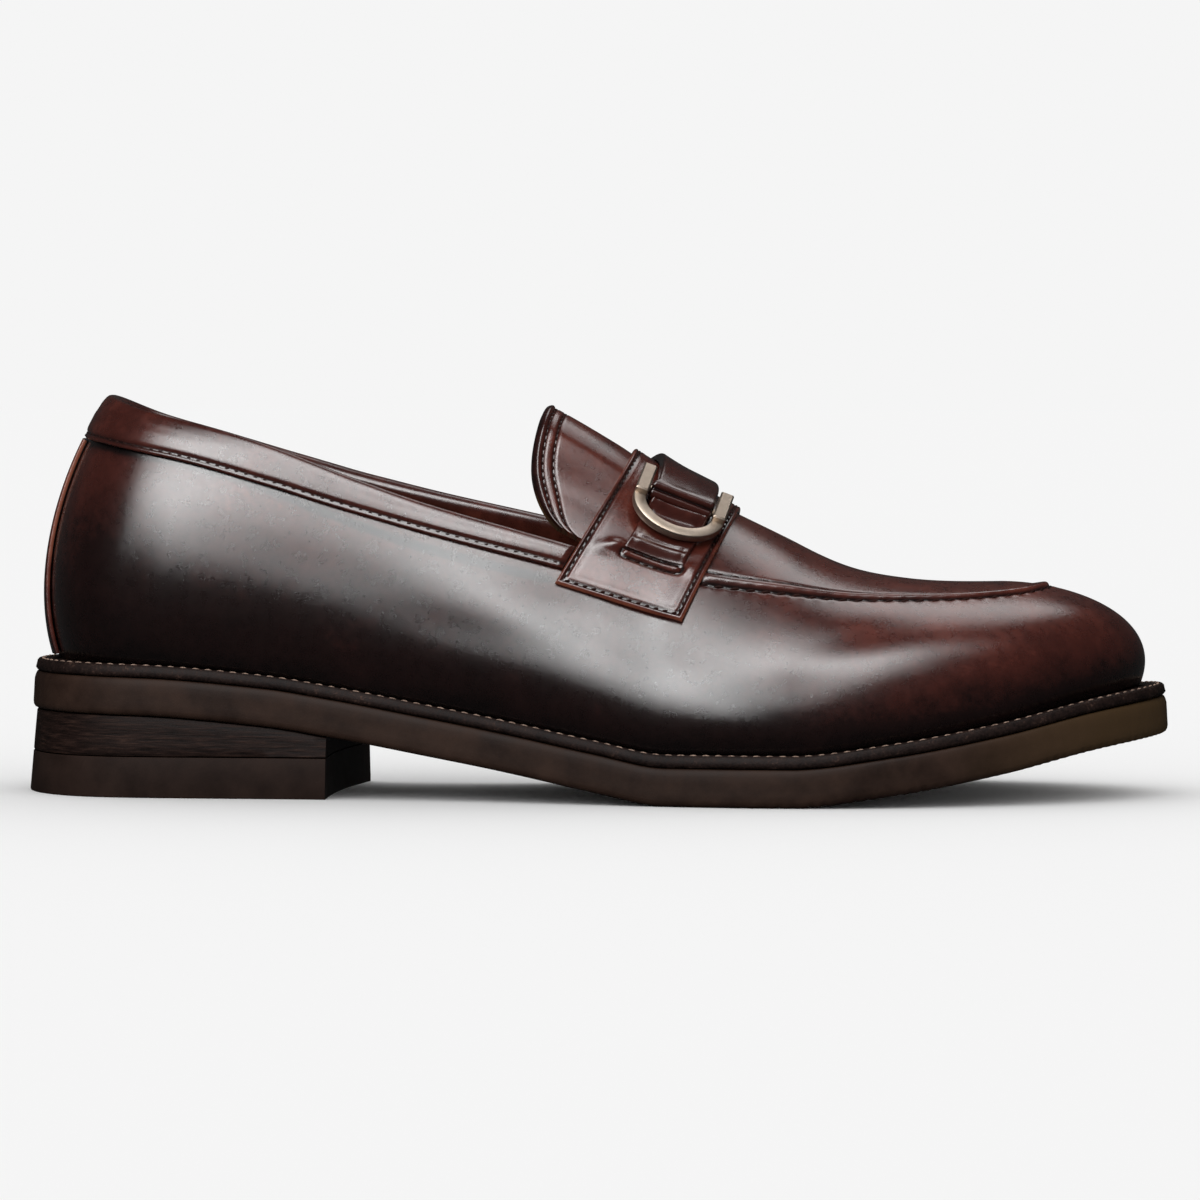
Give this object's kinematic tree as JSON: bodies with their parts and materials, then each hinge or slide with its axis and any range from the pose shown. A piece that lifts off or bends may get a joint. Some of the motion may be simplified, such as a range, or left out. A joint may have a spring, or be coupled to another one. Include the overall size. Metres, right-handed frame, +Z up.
{
  "type": "buckle loafer",
  "caption": "Right dress loafer with a padded collar, apron seam, instep saddle and twin D-ring buckle, on a welted sole with a low stacked heel.",
  "frame": {"origin": "on the floor under the middle of the shoe's bounding box", "axes": "+X to the toe, +Y to the inner side of the foot, +Z up"},
  "size_m": [0.3028, 0.1092, 0.105],
  "materials": {
    "upper_leather": "dark burnished brown, polished",
    "strap_leather": "dark burnished brown, polished",
    "lining_leather": "tan, matt",
    "welt_leather": "dark brown, waxed edge",
    "heel_leather": "dark brown, layered",
    "sole_rubber": "dark brown, satin",
    "nickel": "satin champagne nickel plate"
  },
  "bodies": {
    "root": {"outsole": "sole_rubber", "welt": "welt_leather", "insole": "lining_leather", "heel_stack": "heel_leather", "heel_top_lift": "sole_rubber", "upper": "upper_leather", "collar_binding": "upper_leather", "heel_strip": "upper_leather", "saddle": "strap_leather", "tongue": "upper_leather", "tab_outer": "strap_leather", "tab_inner": "strap_leather", "bridge_strap": "strap_leather", "ring_outer": "nickel", "ring_inner": "nickel"}
  },
  "joints": []
}
